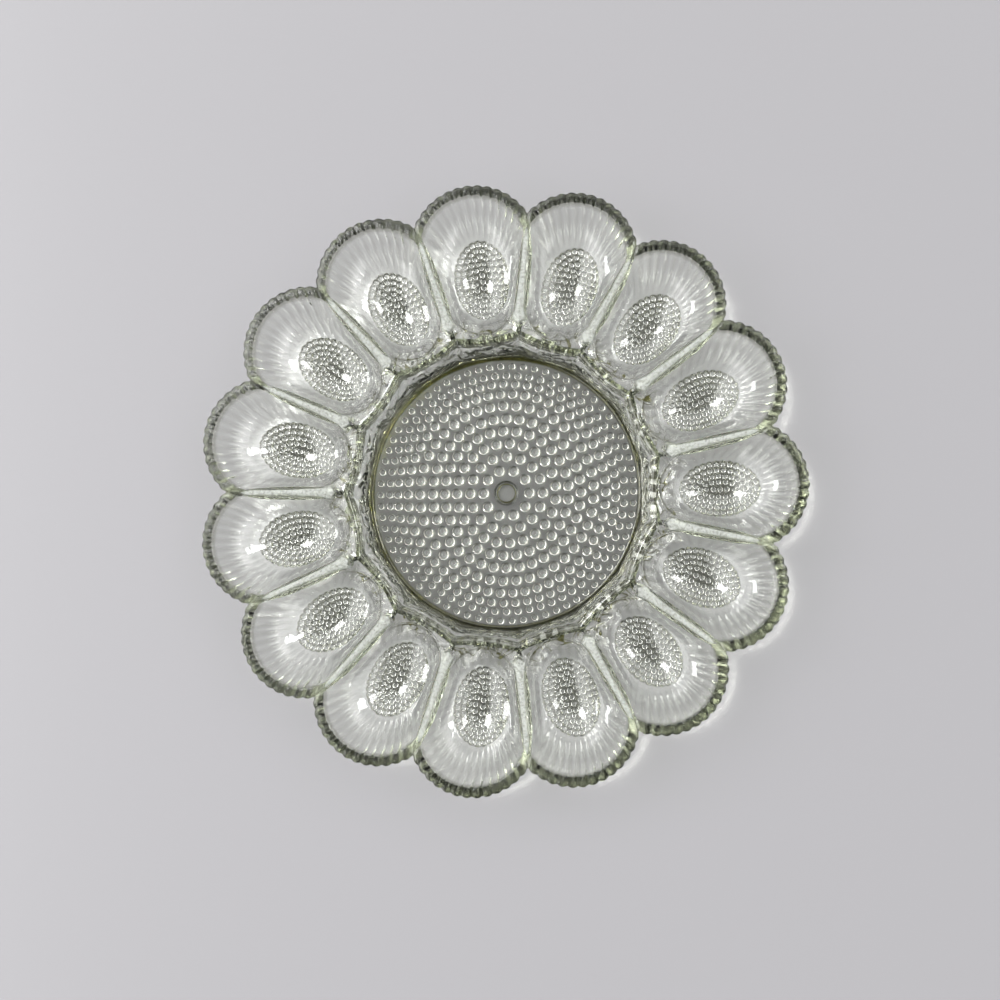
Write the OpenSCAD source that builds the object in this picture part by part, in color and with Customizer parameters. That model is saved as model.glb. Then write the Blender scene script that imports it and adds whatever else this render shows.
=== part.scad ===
// Deviled egg platter: a round tray of pressed clear glass, made in one piece.
// A ring of oval wells holds the half eggs round a shallow centre dish. Each well swells the edge
// into a scallop. Flutes run down the outside of every well, from the edge to its oval floor.
// Millimetres, +Z up. The origin is on the tray's axis, level with the table under the foot ring.
// The middle of the first well lies on +X.

/* [Edge] */
// Diameter over the tips of the scallops
tray_d = 280; // [270:1:320]
// Height of the edge above the table
tray_h = 28; // [24:0.5:36]
// How far the notches between the scallops reach in from the tips
notch_depth = 13; // [11:0.5:16]
// Width of the flat top of the edge
rim_w = 5; // [3:0.5:6]
// Height of the upright outer face of the edge
rim_face_h = 2.5; // [1:0.25:4]

/* [Flutes] */
// Flutes on the outside of each scallop
flutes = 13; // [9:1:13]
// Flutes on each side of a well, facing the next well
side_flutes = 4; // [2:1:4]
// Depth of the grooves between the flutes
flute_depth = 0.7; // [0.2:0.1:1]

/* [Wells] */
// Number of wells
wells = 15; // [14:1:15]
// Distance from the tray's axis to the inner end of a well's mouth
mouth_in_r = 71.7; // [70.5:0.1:73]
// Width of the glass between two neighbouring wells, at the ridge
web_w = 5; // [4:0.5:6]
// Width of the glass between two neighbouring wells, at the notch
web_out_w = 3; // [2:0.5:4]
// Height above the table of the webs between the wells, next to the notches
web_out_h = 24; // [21:0.5:26]
// Thickness of the glass under the webs
web_t = 9; // [6:0.5:10]
// Distance from the tray's axis to the middle of a well's floor
floor_mid_r = 98.75; // [97:0.25:101]
// Length of a well's oval floor
floor_len = 40.5; // [34:0.5:42]
// Width of a well's oval floor
floor_w = 25.3; // [20:0.1:27]
// Height of the lowest part of a well's floor above the table
floor_h = 9; // [7:0.5:11]
// How far the floor rises to the ends of its oval
floor_end_rise = 5; // [1:0.5:6]
// How far the floor rises to the sides of its oval
floor_side_rise = 4; // [1:0.5:5]
// How far the lowest part of the floor lies towards the tray's axis from the middle of the oval
floor_shift = 2; // [0.5:0.5:4]
// Thickness of the glass under a well's floor
floor_t = 4.5; // [3:0.25:5]

/* [Centre dish] */
// Diameter of the dish's flat floor
dish_floor_d = 127; // [120:0.5:129]
// Width of the ridge between the dish and the wells, at the middle of a well
ridge_w = 4.2; // [3:0.1:6]
// Height of the ridge above the table
ridge_h = 20; // [17:0.5:23]
// How much further out the ridge lies between two wells than at their middles
ridge_lobe = 3; // [0.5:0.25:4]
// Thickness of the glass under the ridge
ridge_t = 5; // [3.5:0.25:6]
// Thickness of the glass of the dish's floor
dish_t = 4.5; // [3:0.25:6]

/* [Foot] */
// Outer diameter of the foot ring
foot_d = 133; // [131:0.5:135]
// Width of the foot ring's flat face
foot_w = 3; // [2:0.25:4]
// Height of the recess inside the foot ring
foot_h = 2; // [1.25:0.25:3]
// How far the inner side of the foot ring slopes in
foot_draft = 1; // [0.5:0.25:2]
// Diameter of the round boss in the middle of the recess
boss_d = 11.5; // [8:0.5:20]
// Diameter of the boss's flat face
boss_face_d = 9.5; // [6:0.5:18]
// Height of the boss
boss_h = 1; // [0.2:0.1:1]

/* [Hidden] */

// Steps across one flute: two on its crown and one into each groove
flute_steps = 3;
// Steps along the ridge at the inner end of a well
ridge_steps = 4;

// Where the flute lines meet the oval floor, as an angle round the oval: at the ends of the scallop
// and at the ends of the ridge
oval_out_a = 62;
oval_in_a = 140;
// Where the well's mouth meets the lines from the ends of the ridge, as an angle round its inner end
mouth_join_a = 138;
// How the steps of a side crowd together towards the notch, as a power of their share of its length
side_power = 1.3;
// How far in and how far down from its upper edge the wall of a well bends, inside it, at its inner end
// and outside it
bowl_in_share = 0.5;
bowl_down_share = 0.67;
inner_down_share = 0.52;
cup_in_share = 0.4;
cup_down_share = 0.67;
// Size of the flat part of a well's floor, as a share of the oval
flat_share = 0.45;
// Shares of a side at which the glass reaches the web's thickness and turns to the ridge's thickness,
// going in from the notch
thicken_share = 0.3;
thin_share = 0.6;

// Half of the angle that one well takes up on the ring
half_a = 180 / wells;

// The scallop is an arc through the tip and through both notches
tip_r = tray_d / 2;
notch_r = tip_r - notch_depth;
scallop_mid_r = (tip_r ^ 2 - notch_r ^ 2) / (2 * (tip_r - notch_r * cos(half_a)));
scallop_r = tip_r - scallop_mid_r;
notch_a = atan2(notch_r * sin(half_a), notch_r * cos(half_a) - scallop_mid_r);

// The mouth of a well: an arc along the scallop, a straight side along each web, and a round inner end
mouth_r = scallop_r - rim_w;
web_gap = scallop_mid_r * sin(half_a) - web_out_w / 2;
mouth_reach = sqrt(mouth_r ^ 2 - web_gap ^ 2);
mouth_a = 90 + half_a - atan2(mouth_reach, web_gap);
inner_mid_r = (mouth_in_r - web_w / 2) / (1 - sin(half_a));
inner_r = inner_mid_r - mouth_in_r;
side_len = scallop_mid_r * cos(half_a) + mouth_reach - inner_mid_r * cos(half_a);
bend_a = mouth_join_a - 90 - half_a;
bend_len = inner_r * PI * bend_a / 180;

// The line along the middle of the ridge
ridge_r = mouth_in_r - ridge_w / 2;
corner_r = ridge_r + ridge_lobe;

// Steps round the outline of one well: the scallop, a side, the ridge, and the other side
arc_n = flutes * flute_steps;
side_n = 2 * side_flutes;
loop_n = arc_n + 2 * side_n + ridge_steps;
smooth_n = flutes + 2 * side_n + ridge_steps;
side_end = arc_n + side_n;
ridge_end = side_end + ridge_steps;
own_n = ridge_end - 1;
dish_n = wells * ridge_steps;

// A step of the outline as [stretch, share]. The stretches are 0 the scallop, with shares from -1 to 1,
// 1 the side towards the next well, with shares from 0 at the notch to 1 at the ridge, 2 the ridge,
// with shares from 1 to -1, and 3 the other side, with shares from 1 to 0
function place(i) =
    i <= arc_n ? [0, 2 * i / arc_n - 1]
    : i <= side_end ? [1, ((i - arc_n) / side_n) ^ side_power]
    : i <= ridge_end ? [2, 1 - 2 * (i - side_end) / ridge_steps]
    : [3, (1 - (i - ridge_end) / side_n) ^ side_power];

function mix(a, b, share) = a + (b - a) * share;
function polar(r, a) = [r * cos(a), r * sin(a)];
function flip(p) = [p[0], -p[1]];

// 1 at the bottom of a groove between two flutes, and 0 on a flute
function groove(i) =
    i <= arc_n ? (i % flute_steps == 0 ? 1 : 0)
    : i < side_end ? ((i - arc_n) % 2 == 0 ? 1 : 0)
    : i <= ridge_end ? 0
    : ((i - ridge_end) % 2 == 0 ? 1 : 0);

// The outline of one well's share of the tray, from above
function outline(i) =
    let (p = place(i), s = p[1])
    p[0] == 0 ? [scallop_mid_r, 0] + polar(scallop_r - flute_depth * groove(i), s * notch_a)
    : p[0] == 1 ? polar(mix(notch_r - flute_depth * (1 - s), corner_r, s), half_a)
    : p[0] == 2 ? polar(ridge_r + ridge_lobe * s ^ 2, s * half_a)
    : polar(mix(notch_r - flute_depth * (1 - s), corner_r, s), -half_a);

// A point of the mouth's edge beside a web, a distance d from its outer corner
function mouth_side(d) =
    d <= side_len
    ? polar(inner_mid_r * cos(half_a) + side_len - d, half_a)
        + polar(mix(web_out_w, web_w, d / side_len) / 2, half_a - 90)
    : [inner_mid_r, 0] + polar(inner_r, 90 + half_a + bend_a * (d - side_len) / bend_len);

// The edge of the well's mouth
function mouth(i) =
    let (p = place(i), s = p[1])
    p[0] == 0 ? [scallop_mid_r, 0] + polar(mouth_r, s * mouth_a)
    : p[0] == 1 ? mouth_side(s * (side_len + bend_len))
    : p[0] == 2 ? [inner_mid_r, 0] + polar(inner_r, 180 - s * (180 - mouth_join_a))
    : flip(mouth_side(s * (side_len + bend_len)));

// The edge of the well's oval floor
function oval(i) =
    let (
        p = place(i),
        s = p[1],
        a = p[0] == 0 ? s * oval_out_a
            : p[0] == 1 ? mix(oval_out_a, oval_in_a, s)
            : p[0] == 2 ? 180 - s * (180 - oval_in_a)
            : -mix(oval_out_a, oval_in_a, s)
    )
    [floor_mid_r + floor_len / 2 * cos(a), floor_w / 2 * sin(a)];

// Height of a well's floor, which rises with the square of the distance from its lowest part
function floor_at(p) =
    floor_h
    + floor_end_rise * ((p[0] - floor_mid_r + floor_shift) / (floor_len / 2)) ^ 2
    + floor_side_rise * (p[1] / (floor_w / 2)) ^ 2;

// The edge of the flat part of the floor
function flat(i) = mix([floor_mid_r - floor_shift, 0], oval(i) - [floor_shift, 0], flat_share);

// Height of the tray's upper face along the outline, and thickness of the glass below it
function crest(i) =
    let (p = place(i))
    p[0] == 0 || p[1] == 0 ? tray_h
    : p[0] == 2 ? ridge_h
    : mix(web_out_h, ridge_h, p[1]);
function thickness(i) =
    let (p = place(i))
    p[0] == 0 ? rim_face_h
    : p[0] == 2 ? ridge_t
    : mix(
        mix(rim_face_h, web_t, min(1, p[1] / thicken_share)),
        ridge_t,
        max(0, (p[1] - thin_share) / (1 - thin_share))
    );
function at_ridge(i) = i >= side_end && i <= ridge_end;

// Points of one level of one well, as [x, y, z]
function on_top(i) = [each outline(i), crest(i)];
function below(i) = [each outline(i), crest(i) - thickness(i)];
function lip(i) = [each mouth(i), crest(i)];
function bowl(i) = [
    each mix(mouth(i), oval(i), bowl_in_share),
    mix(crest(i), floor_at(oval(i)), at_ridge(i) ? inner_down_share : bowl_down_share)
];
function floor_edge(i) = [each oval(i), floor_at(oval(i))];
function floor_flat(i) = [each flat(i), floor_h];
function cup(i) =
    let (
        out = outline(i) - oval(i),
        p = mix(outline(i), oval(i), cup_in_share) - out / norm(out) * flute_depth * groove(i)
    )
    [each p, mix(crest(i) - thickness(i), floor_at(oval(i)) - floor_t, cup_down_share)];
function under_edge(i) = floor_edge(i) - [0, 0, floor_t];
function under_flat(i) = floor_flat(i) - [0, 0, floor_t];

// A point turned to its well's place on the ring
function turn(p, k) =
    let (a = 2 * half_a * k)
    [p[0] * cos(a) - p[1] * sin(a), p[0] * sin(a) + p[1] * cos(a), p[2]];

// A ring of the centre dish, r being its radius
function circle_at(r, z) = [for (c = [0:dish_n - 1]) [each polar(r, (2 * c / ridge_steps - 1) * half_a), z]];

// The inner edge of the ridge, which follows the wells
function ridge_edge() = [
    for (c = [0:dish_n - 1])
        let (s = 2 * (c % ridge_steps) / ridge_steps - 1)
        [each polar(ridge_r + ridge_lobe * s ^ 2 - ridge_w / 2, (2 * c / ridge_steps - 1) * half_a), ridge_h]
];

// The tray's points. The outline's points between two wells belong to both of them
foot_in_r = foot_d / 2 - foot_w;
dish_rings = [
    ridge_edge(),
    circle_at(dish_floor_d / 2, foot_h + dish_t),
    circle_at(foot_d / 2, 0),
    circle_at(foot_in_r, 0),
    circle_at(foot_in_r - foot_draft, foot_h),
    circle_at(boss_d / 2, foot_h),
    circle_at(boss_face_d / 2, foot_h - boss_h)
];
tray_points = [
    for (k = [0:wells - 1], i = [1:own_n]) turn(on_top(i), k),
    for (k = [0:wells - 1], i = [1:own_n]) turn(below(i), k),
    for (k = [0:wells - 1], i = [0:loop_n - 1]) turn(cup(i), k),
    for (k = [0:wells - 1], j = [0:smooth_n - 1]) turn(lip(step(j)), k),
    for (k = [0:wells - 1], j = [0:smooth_n - 1]) turn(bowl(step(j)), k),
    for (k = [0:wells - 1], j = [0:smooth_n - 1]) turn(floor_edge(step(j)), k),
    for (k = [0:wells - 1], j = [0:smooth_n - 1]) turn(floor_flat(step(j)), k),
    for (k = [0:wells - 1], j = [0:smooth_n - 1]) turn(under_edge(step(j)), k),
    for (k = [0:wells - 1], j = [0:smooth_n - 1]) turn(under_flat(step(j)), k),
    for (ring = dish_rings) each ring
];

// A loop without flutes has one step where the scallop has a flute. This is its step j in the full loop
function step(j) = j <= flutes ? j * flute_steps : j + arc_n - flutes;

// Numbers of the points on the outline of well k, above or below
function shared(k, i) =
    i == 0 ? own((k + wells - 1) % wells, arc_n)
    : i <= own_n ? own(k, i)
    : own((k + wells - 1) % wells, side_end + ridge_end - i);
function own(k, i) = k * own_n + i - 1;
function top_loop(k) = [for (i = [0:loop_n - 1]) shared(k, i)];
function below_loop(k) = [for (n = top_loop(k)) n + wells * own_n];

// Numbers of the points of the fluted level of well k, of its smooth levels, and of the dish's rings
fluted_from = 2 * wells * own_n;
smooth_from = fluted_from + wells * loop_n;
rings_from = smooth_from + 6 * wells * smooth_n;
function fluted(k) = [for (i = [0:loop_n - 1]) fluted_from + k * loop_n + i];
function smooth(level, k) = [for (j = [0:smooth_n - 1]) smooth_from + (level * wells + k) * smooth_n + j];
function ring(j) = [for (c = [0:dish_n - 1]) rings_from + j * dish_n + c];
function ridge_line() = [
    for (k = [0:wells - 1], j = [0:ridge_steps - 1]) shared(k, ridge_end - j)
];

// Triangles between two loops of as many points, and one face over a flat loop
function band(a, b) = [
    for (i = [0:len(a) - 1])
        let (n = (i + 1) % len(a))
        each [[a[i], b[i], b[n]], [a[i], b[n], a[n]]]
];

// Triangles between a full loop and a loop without flutes
function taper(a, b) = [
    for (j = [0:smooth_n - 1])
        let (from = step(j), to = j + 1 < smooth_n ? step(j + 1) : loop_n, mid = ceil((from + to) / 2))
        each [
            for (i = [from:to - 1]) [a[i], i < mid ? b[j] : b[(j + 1) % smooth_n], a[(i + 1) % loop_n]],
            [a[mid % loop_n], b[j], b[(j + 1) % smooth_n]]
        ]
];
function flipped(faces) = [for (f = faces) [f[0], f[2], f[1]]];
function upside(a) = [[for (i = [len(a) - 1:-1:0]) a[i]]];
function underside(a) = [a];

// The upright outer face of one scallop
function rim_face(a, b) = [
    for (i = [0:arc_n - 1])
        each [[a[i], a[i + 1], b[i + 1]], [a[i], b[i + 1], b[i]]]
];

function well_faces(k) = [
    each taper(top_loop(k), smooth(0, k)),
    each band(smooth(0, k), smooth(1, k)),
    each band(smooth(1, k), smooth(2, k)),
    each band(smooth(2, k), smooth(3, k)),
    each upside(smooth(3, k)),
    each rim_face(top_loop(k), below_loop(k)),
    each band(fluted(k), below_loop(k)),
    each flipped(taper(fluted(k), smooth(4, k))),
    each band(smooth(5, k), smooth(4, k)),
    each underside(smooth(5, k))
];
function dish_faces() = [
    each band(ridge_line(), ring(0)),
    each band(ring(0), ring(1)),
    each upside(ring(1)),
    each band(ring(2), [for (n = ridge_line()) n + wells * own_n]),
    each band(ring(3), ring(2)),
    each band(ring(4), ring(3)),
    each band(ring(5), ring(4)),
    each band(ring(6), ring(5)),
    each underside(ring(6))
];

// The whole tray: one solid, because the glass is pressed in one mould
module platter() {
    color([0.80, 0.86, 0.82, 0.6])
        polyhedron(tray_points, [for (k = [0:wells - 1]) each well_faces(k), each dish_faces()]);
}

platter();
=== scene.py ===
"""A deviled egg platter of pressed clear glass, lying on a pale table and seen from straight above."""

import logging
import math
from collections.abc import Callable
from dataclasses import dataclass, field
from enum import Enum, IntEnum

import bmesh
import bpy
import numpy as np
from mathutils import Matrix, Vector
from mathutils.geometry import delaunay_2d_cdt


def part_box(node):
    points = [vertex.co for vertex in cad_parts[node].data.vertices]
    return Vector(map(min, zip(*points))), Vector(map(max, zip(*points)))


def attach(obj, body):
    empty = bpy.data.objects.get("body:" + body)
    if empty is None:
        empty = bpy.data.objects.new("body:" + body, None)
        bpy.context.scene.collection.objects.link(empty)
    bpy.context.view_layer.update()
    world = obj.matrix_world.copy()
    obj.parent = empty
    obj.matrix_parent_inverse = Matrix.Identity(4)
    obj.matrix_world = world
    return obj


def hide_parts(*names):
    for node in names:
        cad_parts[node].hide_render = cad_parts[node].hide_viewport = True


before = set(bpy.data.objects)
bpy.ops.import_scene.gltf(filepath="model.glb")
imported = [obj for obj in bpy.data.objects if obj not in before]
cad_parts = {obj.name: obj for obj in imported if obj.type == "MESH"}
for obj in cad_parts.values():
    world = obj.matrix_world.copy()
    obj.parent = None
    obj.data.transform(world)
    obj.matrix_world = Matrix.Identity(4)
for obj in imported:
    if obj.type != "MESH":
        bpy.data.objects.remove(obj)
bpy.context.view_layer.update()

Number = np.ndarray | float
Span = tuple[float, float]
Triple = tuple[float, float, float]
Feed = float | tuple[float, ...] | bpy.types.NodeSocket

MM = 0.001
TINY = 1e-6
CREASE = math.radians(50)

# The tray's axis as a plan point. The CAD part's far corner in metres, whose X is at the tip of the first well,
# and how far in millimetres the glass keeps inside that tip.
AXIS = np.zeros((1, 2))
FAR_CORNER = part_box("platter")[1]
INSIDE = 0.03

log = logging.getLogger("platter")


class Stretch(Enum):
    """The four stretches of the outline that belongs to one egg well."""

    SCALLOP = 0
    SIDE = 1
    RIDGE = 2
    FAR_SIDE = 3


class Finish(IntEnum):
    """The material slots of the glass."""

    CLEAR = 0
    FROSTED = 1
    # Near-black glass: painted shade on the boss's steep rings.
    STEEP = 2


def mix(a: Number, b: Number, share: Number) -> Number:
    """The value a share of the way from a to b."""
    return a + (b - a) * share


def around(count: int) -> np.ndarray:
    """Angles of points spread evenly on a circle, in radians: 2 pi i / count."""
    return np.arange(count) * 2 * math.pi / count


def polar(radius: Number, angle: Number, middle: float = 0.0) -> np.ndarray:
    """Points of a circle whose middle lies on the X axis, at angles in radians: middle + r (cosine, sine)."""
    radius, angle = np.broadcast_arrays(radius, angle)
    return np.stack([radius * np.cos(angle) + middle, radius * np.sin(angle)], axis=-1)


def toward(start: np.ndarray, end: np.ndarray, distance: Number) -> np.ndarray:
    """Plan points moved from their start by a distance on the straight way to their end."""
    way = end - start
    return start + way / np.linalg.norm(way, axis=1)[:, None] * distance


def smoothstep(x: np.ndarray, low: float, high: float) -> np.ndarray:
    """0 below low, 1 above high and 3t^2 - 2t^3 between them."""
    t = np.clip((x - low) / (high - low), 0.0, 1.0)
    return t * t * (3 - 2 * t)


@dataclass(frozen=True)
class Loop:
    """Plan points with their height in millimetres, and shares from 0 to 1 that tell the glass how its skin is.

    The grain is how uneven and matt it is, the painted shade how much its colour is darkened in place of shade, the
    swirl how much it flows in broad waves and carries painted dark squiggles, and the flank how much it darkens the
    lamp light that passes to the table, a painted shadow like that of the light the steep side of a stud throws aside.
    """

    plan: np.ndarray
    height: Number
    grain: Number = 0.0
    tone: Number = 0.0
    swirl: Number = 0.0
    flank: Number = 0.0

    def points(self, turn: float) -> np.ndarray:
        """Turns the points round the tray's axis.

        Args:
            turn: the angle in radians.

        Returns:
            An array of rows (x, y, z).
        """
        c, s = math.cos(turn), math.sin(turn)
        x, y = self.plan[:, 0], self.plan[:, 1]
        return np.column_stack([c * x - s * y, s * x + c * y, np.broadcast_to(self.height, len(x))])


@dataclass
class Shell:
    """Points and faces of one closed glass surface, gathered loop by loop."""

    frosted_grain: float = 0.5
    dark_paint_flank: float = 0.95
    dark_paint_normal: float = 0.55
    points: list[np.ndarray] = field(default_factory=list)
    quads: list[np.ndarray] = field(default_factory=list)
    tris: list[np.ndarray] = field(default_factory=list)
    skins: list[np.ndarray] = field(default_factory=list)
    swirls: list[np.ndarray] = field(default_factory=list)
    count: int = 0

    def add(self, loop: Loop, turn: float = 0.0) -> np.ndarray:
        """Adds the points of a loop.

        Args:
            loop: the points and their skin.
            turn: the angle in radians by which they are turned round the tray's axis.

        Returns:
            The numbers of the new points.
        """
        points = loop.points(turn)
        self.points.append(points)
        skin = (loop.grain, loop.flank, loop.tone)
        self.skins.append(np.column_stack([np.broadcast_to(share, len(points)) for share in skin]))
        self.swirls.append(np.broadcast_to(loop.swirl, len(points)))
        self.count += len(points)
        return np.arange(self.count - len(points), self.count)

    def bands(self, loops: list[np.ndarray]) -> None:
        """Quads between each closed loop and the next, which has as many points."""
        for a, b in zip(loops[:-1], loops[1:]):
            self.quads.append(np.column_stack([a, b, np.roll(b, -1), np.roll(a, -1)]))

    def taper(self, a: np.ndarray, b: np.ndarray) -> None:
        """Adds three triangles to each step between a closed loop and one of half as many points.

        Args:
            a: point numbers of the loop with more points.
            b: point numbers of the other.
        """
        now, half, then = a[::2], a[1::2], np.roll(a[::2], -1)
        self.tris += [
            np.column_stack([now, b, half]),
            np.column_stack([half, b, np.roll(b, -1)]),
            np.column_stack([half, np.roll(b, -1), then]),
        ]

    def fan(self, a: np.ndarray, hub: np.ndarray) -> None:
        """Triangles between a closed loop and one point."""
        self.tris.append(np.column_stack([a, np.roll(a, -1), np.full(len(a), hub[0])]))

    def mesh(self, name: str) -> bpy.types.Mesh:
        """Joins the loops into one closed mesh in metres, with its faces outwards.

        Args:
            name: the mesh's name.

        Returns:
            The new mesh, smooth but for its sharp creases.
        """
        faces = [f.tolist() for part in (self.quads, self.tris) for f in np.concatenate(part)]
        mesh = bpy.data.meshes.new(name)
        mesh.from_pydata((np.concatenate(self.points) * MM).tolist(), [], faces)
        skin = mesh.attributes.new("skin", "FLOAT_VECTOR", "POINT")
        skin.data.foreach_set("vector", np.concatenate(self.skins).ravel())
        swirl = mesh.attributes.new("swirl", "FLOAT", "POINT")
        swirl.data.foreach_set("value", np.concatenate(self.swirls))
        work = bmesh.new()
        work.from_mesh(mesh)
        bmesh.ops.remove_doubles(work, verts=work.verts, dist=TINY)
        bmesh.ops.recalc_face_normals(work, faces=work.faces)
        open_edges = sum(len(e.link_faces) != 2 for e in work.edges)
        work.to_mesh(mesh)
        work.free()
        mesh.shade_smooth()
        mesh.set_sharp_from_angle(angle=CREASE)
        self.set_finishes(mesh)
        mesh.calc_loop_triangles()
        log.info("%s: %d triangles, %d open edges", name, len(mesh.loop_triangles), open_edges)
        return mesh

    def set_finishes(self, mesh: bpy.types.Mesh) -> None:
        """Gives each face its finish: frosted where all its corners have grain, and the near-black painted dark
        finish, painted shade, where one of them is all flank and the face's normal lies flat.

        Args:
            mesh: the mesh, with its skin.
        """
        corner, start = np.empty(len(mesh.loops), int), np.empty(len(mesh.polygons), int)
        normal, skin = np.empty(3 * len(mesh.polygons)), np.empty(3 * len(mesh.vertices))
        mesh.loops.foreach_get("vertex_index", corner)
        mesh.polygons.foreach_get("loop_start", start)
        mesh.polygons.foreach_get("normal", normal)
        mesh.attributes["skin"].data.foreach_get("vector", skin)
        grain, flank = skin[0::3][corner], skin[1::3][corner]
        frosted = np.minimum.reduceat(grain, start) > self.frosted_grain
        # Painted shade: faces that are all flank and stand steep get the near-black finish.
        steep = (np.maximum.reduceat(flank, start) > self.dark_paint_flank) & (np.abs(normal[2::3]) < self.dark_paint_normal)
        finish = np.select([steep, frosted], [Finish.STEEP, Finish.FROSTED], Finish.CLEAR)
        mesh.polygons.foreach_set("material_index", finish)


def sheet_between(outer: np.ndarray, holes: list[np.ndarray]) -> np.ndarray:
    """Triangles of a flat sheet with round holes, by a constrained Delaunay triangulation.

    Args:
        outer: plan points of the sheet's convex edge.
        holes: plan points of each hole's edge.

    Returns:
        Triangles as numbers into the outer points followed by those of the holes.
    """
    loops = [outer, *holes]
    starts = np.cumsum([0] + [len(loop) for loop in loops])
    label = np.repeat(np.arange(len(loops)), [len(loop) for loop in loops])
    edges = [
        (int(s + i), int(s + (i + 1) % len(loop)))
        for s, loop in zip(starts, loops)
        for i in range(len(loop))
    ]
    found = delaunay_2d_cdt([Vector(p) for p in np.concatenate(loops)], edges, [], 0, TINY)
    origin = np.array([o[0] for o in found[3]])
    tris = origin[np.array(found[2])]
    inside_hole = (label[tris] == label[tris[:, :1]]).all(axis=1) & (label[tris[:, 0]] > 0)
    return tris[~inside_hole]


@dataclass
class Hobnails:
    """Round studs that stand on the underside, in the places of a pattern. Sizes in millimetres.

    The profile gives each stud's steep flank and low dome, as shares of its radius and of its height. The two
    tables give, at shares of its radius, the flank, which darkens the light that reaches the table as a painted
    shadow, and the painted shade of its skin, which draws a dark ring on the steep flank.
    """

    centres: np.ndarray
    radii: np.ndarray
    height: float
    sides: int
    profile: tuple[Span, ...]
    ground: Callable[[np.ndarray], np.ndarray]
    tone: float
    foot_painted_shade: float
    foot_flank: float
    clearance: float = 0.08
    flank_table: tuple[Span, Span] = ((0.5, 0.8), (0.3, 0.93))
    painted_shade_table: tuple[Triple, Triple] = ((0.5, 0.76, 0.9), (0.0, 0.85, 1.0))

    def __post_init__(self) -> None:
        """Narrows the studs that would touch a neighbour, in three rounds."""
        apart = np.linalg.norm(self.centres[:, None] - self.centres[None], axis=-1)
        for _ in range(3):
            room = apart - self.radii[None] - self.clearance
            np.fill_diagonal(room, np.inf)
            self.radii = np.minimum(self.radii, (self.radii + room.min(axis=1)) / 2)

    def add(self, shell: Shell, edges: list[np.ndarray], edge_ids: list[np.ndarray], turns: list[float]) -> None:
        """Adds the sheet that the studs stand on, and the studs.

        Args:
            shell: the surface that gets them.
            edges: plan points of the sheet's outer edge, and of a hole in it if there is one.
            edge_ids: for each edge the numbers of its points, by place round the tray.
            turns: the angles in radians of those places.
        """
        rims = [centre + polar(radius, around(self.sides)) for centre, radius in zip(self.centres, self.radii)]
        plan = np.concatenate(rims)
        foot = Loop(plan, self.ground(plan), tone=self.foot_painted_shade, flank=self.foot_flank)
        foot_ids = np.stack([shell.add(foot, turn) for turn in turns])
        tris = sheet_between(edges[0], [*rims, *edges[1:]])
        ids = np.concatenate([edge_ids[0], foot_ids, *edge_ids[1:]], axis=1)
        shell.tris += [place[tris] for place in ids]
        self.add_caps(shell, foot_ids.reshape(len(turns), -1, self.sides), turns)

    def add_caps(self, shell: Shell, foot_ids: np.ndarray, turns: list[float]) -> None:
        """Adds what stands out of the sheet.

        Args:
            shell: the surface that gets it.
            foot_ids: point numbers of the studs' rims, by place round the tray, stud and side.
            turns: the angles in radians of those places.
        """
        levels = [foot_ids]
        height = self.height * self.radii / self.radii.max()
        for share, fall in self.profile:
            plan = self.centres[:, None, :] + polar(self.radii[:, None] * share, around(self.sides)[None, :])
            plan = plan.reshape(-1, 2)
            flank, tone = (float(np.interp(share, *table)) for table in (self.flank_table, self.painted_shade_table))
            loop = Loop(plan, self.ground(plan) - np.repeat(height * fall, self.sides), tone=tone, flank=flank)
            levels.append(np.stack([shell.add(loop, turn).reshape(-1, self.sides) for turn in turns]))
        for a, b in zip(levels[:-1], levels[1:]):
            quad = np.stack([a, b, np.roll(b, -1, axis=-1), np.roll(a, -1, axis=-1)], axis=-1)
            shell.quads.append(quad.reshape(-1, 4))
        tips = Loop(self.centres, self.ground(self.centres) - height, tone=self.tone)
        hubs = np.stack([shell.add(tips, turn) for turn in turns])
        last = levels[-1]
        tri = np.stack([last, np.roll(last, -1, axis=-1), np.broadcast_to(hubs[..., None], last.shape)], axis=-1)
        shell.tris.append(tri.reshape(-1, 3))


@dataclass(frozen=True)
class Ridge:
    """The ridge between the egg wells and the centre dish, with one span to each well. Sizes in millimetres."""

    spans: int = 15
    flutes: int = 5
    steps: int = 4
    height: float = 20.0
    thickness: float = 5.0
    outer_r: float = 71.7
    width: float = 4.2
    lobe: float = 3.0
    wave_h: float = 0.6

    @property
    def half(self) -> float:
        """Half the angle of a span, in radians."""
        return math.pi / self.spans

    def line(self, share: Number) -> Number:
        """Radius of the ridge's middle line, which lies further out towards the webs: by lobe times share squared."""
        return self.outer_r - self.width / 2 + self.lobe * share**2


@dataclass(frozen=True)
class Edge:
    """The rounded edge of the tray's upper face. Sizes in millimetres.

    Each loop over it has a share of the rounding and a fall of the soft crest. Before them stands its inset from
    the outline or its outset from the mouth, and after them its share of the grain. The lip is where the wall starts.
    """

    rounding: float = 0.8
    outer: tuple[Triple, ...] = ((0.0, 1.0, 0.0), (0.25, 0.28, 0.0), (0.8, 0.0, 0.1))
    inner: tuple[tuple[float, ...], ...] = ((0.9, 0.0, 0.35, 1.0), (0.3, 0.22, 0.6, 0.5))
    lip: Span = (0.95, 0.7)

    def height(self, crest: Number, soft: Number, rounding: Number, fall: float) -> Number:
        """Height on the edge: the crest, less a share of the rounding and a fall where the crest is soft."""
        return crest - rounding * self.rounding - fall * soft


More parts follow.
